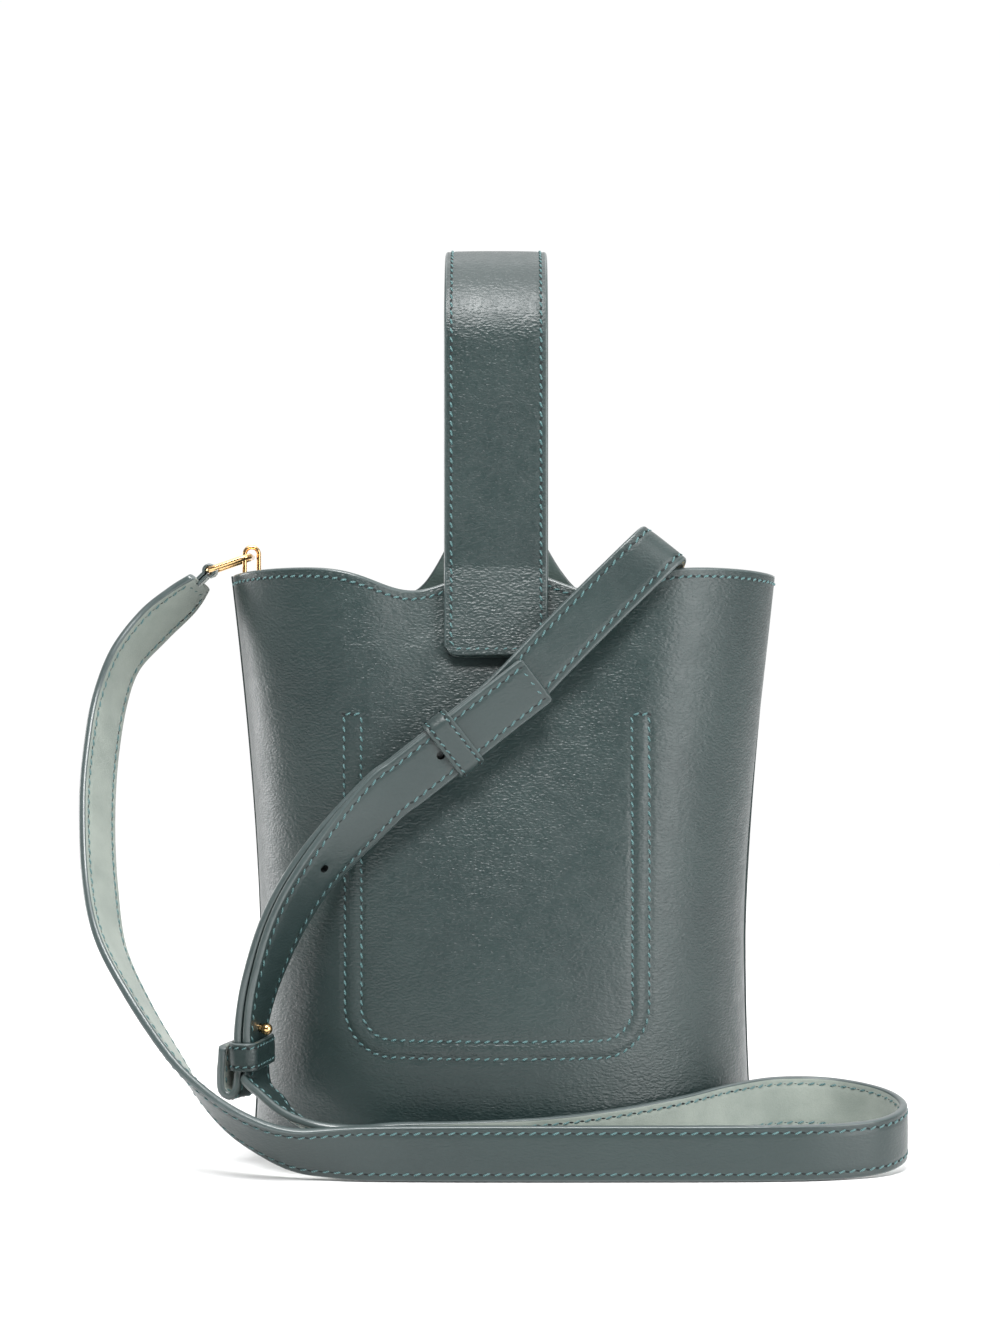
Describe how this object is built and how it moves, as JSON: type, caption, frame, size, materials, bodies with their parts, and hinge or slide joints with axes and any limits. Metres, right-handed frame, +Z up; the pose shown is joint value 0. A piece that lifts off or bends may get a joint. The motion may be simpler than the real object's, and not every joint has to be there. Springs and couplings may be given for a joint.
{
  "type": "bucket bag",
  "caption": "Small leather bucket bag with a looped top handle sewn to the front, a flared oval body and a long adjustable shoulder strap on metal rings.",
  "frame": {"origin": "centre of the base underside, on the surface the bag stands on", "axes": "+Z up, the front panel with the sewn handle patch faces -Y, +X to the right as seen from the front"},
  "size_m": [0.2919, 0.159, 0.326],
  "materials": {
    "leather": "smooth calf, satin",
    "leather_inner": "split leather, matte",
    "lining": "woven cotton, matte",
    "board": "leather fibre board, matte",
    "gold_metal": "polished"
  },
  "bodies": {
    "root": {"front_panel": "leather", "back_panel": "leather", "seam_strip_left": "leather", "seam_strip_right": "leather", "base_panel": "leather", "base_board": "board", "lining": "lining", "lining_base": "lining", "rim_facing_front": "leather_inner", "rim_facing_back": "leather_inner", "inner_pocket": "lining", "handle_patch": "leather", "anchor_tab_left": "leather_inner", "anchor_tab_right": "leather_inner", "link_left": "gold_metal", "link_right": "gold_metal", "strap_loop_left": "leather", "strap_loop_right": "leather", "strap_long": "leather", "strap_short": "leather", "keeper_lower": "leather", "stud_ball": "gold_metal", "stud_screw": "gold_metal"},
    "handle_front": {"handle_front_leg": "leather"},
    "handle_arch": {"handle_top": "leather"},
    "handle_back": {"handle_back_leg": "leather"},
    "keeper_slider": {"keeper_upper": "leather"},
    "ring_l": {"ring_left": "gold_metal"},
    "ring_r": {"ring_right": "gold_metal"}
  },
  "joints": [
    {"name": "handle_lean", "type": "hinge", "parent": "root", "child": "handle_front", "pos_m": [-0.0025, -0.03809, 0.22475], "axis": [1, 0, 0], "range_deg": [-20, 20], "stiffness_Nm_per_rad": 0.15},
    {"name": "handle_top_turn", "type": "hinge", "parent": "handle_front", "child": "handle_arch", "pos_m": [-0.0025, -0.03809, 0.28438], "axis": [1, 0, 0], "range_deg": [-20.5, 20.5]},
    {"name": "handle_back_turn", "type": "hinge", "parent": "handle_arch", "child": "handle_back", "pos_m": [-0.0025, 0.03514, 0.28438], "axis": [1, 0, 0], "range_deg": [-20.5, 20.5]},
    {"name": "keeper_slide", "type": "slide", "parent": "root", "child": "keeper_slider", "axis": [0.7862, 0.0583, 0.6152], "range_m": [-0.012, 0.014]},
    {"name": "ring_left_swing", "type": "hinge", "parent": "root", "child": "ring_l", "pos_m": [-0.1076, 0, 0.2093], "axis": [0, 1, 0], "range_deg": [-1, 9]},
    {"name": "ring_right_swing", "type": "hinge", "parent": "root", "child": "ring_r", "pos_m": [0.0754, 0, 0.1933], "axis": [0, 1, 0], "range_deg": [-1, 9]}
  ],
  "couplings": [
    {"joint": "handle_top_turn", "follows": "handle_lean", "ratio": -1},
    {"joint": "handle_back_turn", "follows": "handle_lean", "ratio": 1}
  ]
}
